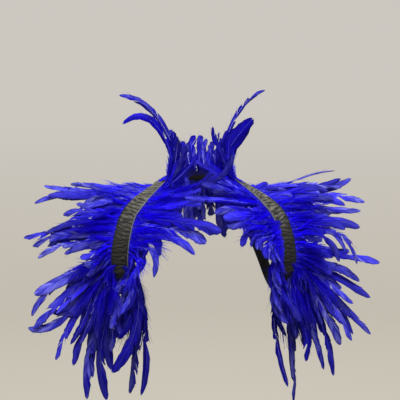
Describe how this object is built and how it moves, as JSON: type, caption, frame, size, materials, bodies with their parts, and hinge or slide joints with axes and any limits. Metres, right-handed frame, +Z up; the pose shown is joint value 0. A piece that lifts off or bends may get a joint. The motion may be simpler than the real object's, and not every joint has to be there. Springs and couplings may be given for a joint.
{
  "type": "feather cape",
  "caption": "Open shoulder cape: a ruched yoke over both shoulders and round the nape, edged with long dyed feathers that fan over arms, chest and collar, held on by underarm straps.",
  "frame": {"origin": "on the neck's axis, level with the tops of the shoulders that the yoke rests on", "axes": "+X towards the wearer's left, -Y towards the wearer's front, +Z up"},
  "size_m": [0.6542, 0.2378, 0.5823],
  "materials": {
    "ruched_cloth": "gathered black satin, dull sheen on the crests",
    "elastic": "plain woven black elastic, matt",
    "dyed_feather": "royal-blue dyed rooster feather, soft sheen"
  },
  "bodies": {
    "root": {"yoke_band": "ruched_cloth", "underarm_strap_right": "elastic", "underarm_strap_left": "elastic", "shoulder_feathers_right": "dyed_feather", "shoulder_feathers_left": "dyed_feather", "back_feathers_right": "dyed_feather", "back_feathers_left": "dyed_feather", "chest_feathers_right": "dyed_feather", "chest_feathers_left": "dyed_feather", "collar_feathers_right": "dyed_feather", "collar_feathers_left": "dyed_feather"}
  },
  "joints": []
}
